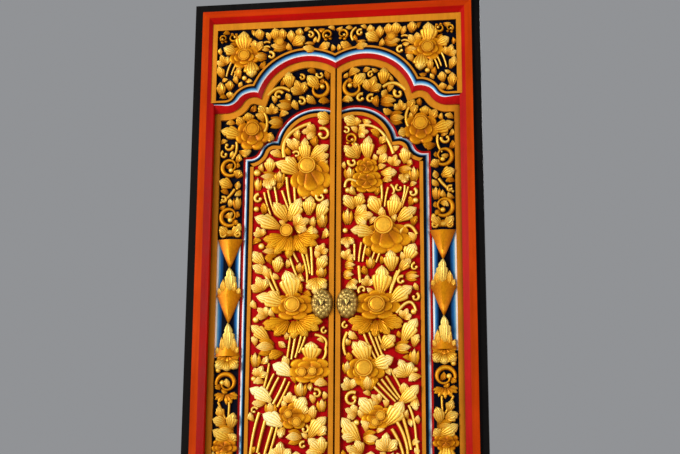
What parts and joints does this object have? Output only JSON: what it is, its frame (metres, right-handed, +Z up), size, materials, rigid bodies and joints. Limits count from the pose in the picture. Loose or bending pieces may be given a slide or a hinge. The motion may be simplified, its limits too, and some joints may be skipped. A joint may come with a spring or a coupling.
{
  "type": "carved double door",
  "caption": "Carved double-leaf door under a cusped arch transom, hung on pivots in its moulded frame, with oval pull bosses and a draw bar behind.",
  "frame": {"origin": "middle of the sill's underside across the width, on the front plane of the closed leaves", "axes": "+X to the viewer's right, +Z up, the carved front faces -Y and the leaves open towards +Y"},
  "size_m": [1.06, 0.1504, 2.195],
  "materials": {
    "casing_paint": "black gloss paint on wood",
    "moulding_paint": "orange and crimson gloss paint on wood",
    "ochre_paint": "ochre gloss paint on wood",
    "carving_paint": "gold paint over a dark red ground on carved wood",
    "board_paint": "ochre gloss paint on wood",
    "bare_wood": "oiled dark hardwood",
    "pivot_iron": "forged iron",
    "boss_brass": "dark aged cast brass"
  },
  "bodies": {
    "frame": {"left_jamb": "casing_paint", "right_jamb": "casing_paint", "head": "casing_paint", "sill": "casing_paint", "left_moulding": "moulding_paint", "right_moulding": "moulding_paint", "head_moulding": "moulding_paint", "transom_board": "ochre_paint", "transom_carving": "carving_paint", "left_pivot_cup": "pivot_iron", "right_pivot_cup": "pivot_iron", "left_pivot_bush": "pivot_iron", "right_pivot_bush": "pivot_iron"},
    "left_leaf": {"left_leaf_board": "board_paint", "left_border_carving": "carving_paint", "left_panel_carving": "carving_paint", "left_bottom_pivot": "pivot_iron", "left_top_pivot": "pivot_iron", "left_pull": "boss_brass", "left_pull_nut": "boss_brass", "left_lower_ledge": "bare_wood", "left_upper_ledge": "bare_wood", "left_outer_keep": "bare_wood", "left_inner_keep": "bare_wood"},
    "right_leaf": {"right_leaf_board": "board_paint", "right_border_carving": "carving_paint", "right_panel_carving": "carving_paint", "right_bottom_pivot": "pivot_iron", "right_top_pivot": "pivot_iron", "right_pull": "boss_brass", "right_pull_nut": "boss_brass", "right_lower_ledge": "bare_wood", "right_upper_ledge": "bare_wood", "right_keep": "bare_wood"},
    "draw_bar": {"draw_bar": "bare_wood", "bar_peg": "bare_wood"}
  },
  "joints": [
    {"name": "left_leaf_swing", "type": "hinge", "parent": "frame", "child": "left_leaf", "pos_m": [-0.438, 0.026, 0], "axis": [0, 0, 1], "range_deg": [0, 90]},
    {"name": "right_leaf_swing", "type": "hinge", "parent": "frame", "child": "right_leaf", "pos_m": [0.438, 0.026, 0], "axis": [0, 0, -1], "range_deg": [0, 90]},
    {"name": "draw_bar_slide", "type": "slide", "parent": "left_leaf", "child": "draw_bar", "axis": [1, 0, 0], "range_m": [0, 0.12]}
  ]
}
